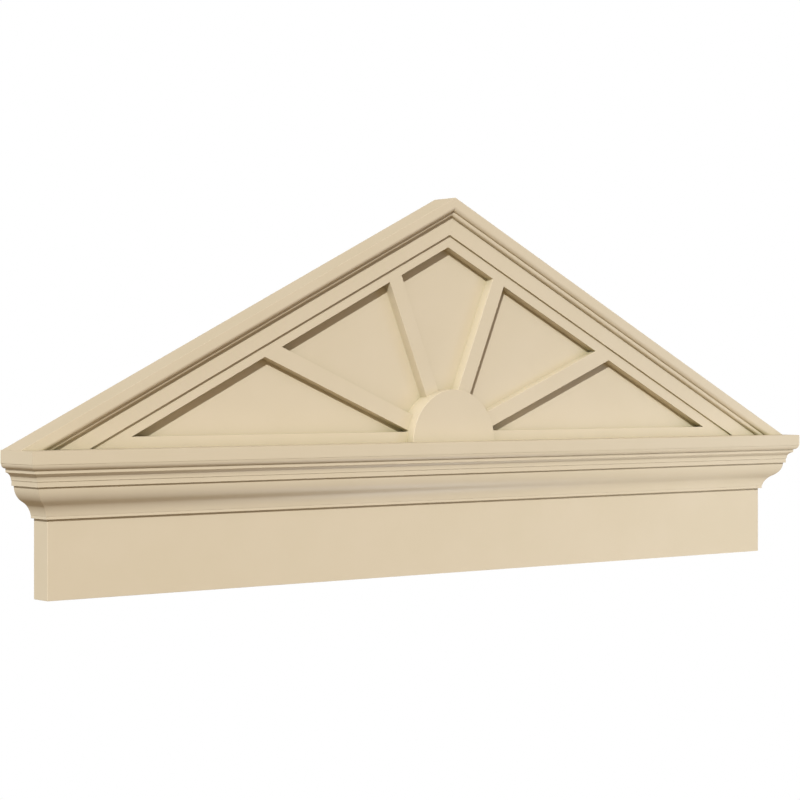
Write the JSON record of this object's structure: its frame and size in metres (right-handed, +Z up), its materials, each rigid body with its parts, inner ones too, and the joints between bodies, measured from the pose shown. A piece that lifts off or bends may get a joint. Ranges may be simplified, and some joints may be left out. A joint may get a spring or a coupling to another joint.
{
  "type": "classical pediment",
  "caption": "Low gabled head for a door or window: a recessed sunburst panel under raking mouldings, on a flat frieze board with a mitred cornice.",
  "frame": {"origin": "in the wall plane, on the centre line, at the middle of the frieze board's back", "axes": "+X to the viewer's right along the cornice, +Y into the wall, +Z up; the front faces -Y"},
  "size_m": [1.1982, 0.0696, 0.4601],
  "materials": {
    "primed_pvc": "smooth matt cream tan factory primer on cellular PVC"
  },
  "bodies": {
    "root": {"frieze_board": "primed_pvc", "bed_moulding_front": "primed_pvc", "bed_moulding_return_left": "primed_pvc", "bed_moulding_return_right": "primed_pvc", "crown_moulding_front": "primed_pvc", "crown_moulding_return_left": "primed_pvc", "crown_moulding_return_right": "primed_pvc", "rake_crown_left": "primed_pvc", "rake_crown_right": "primed_pvc", "rake_board_left": "primed_pvc", "rake_board_right": "primed_pvc", "tympanum_panel": "primed_pvc", "sunburst_frame": "primed_pvc", "sunburst_hub": "primed_pvc"}
  },
  "joints": []
}
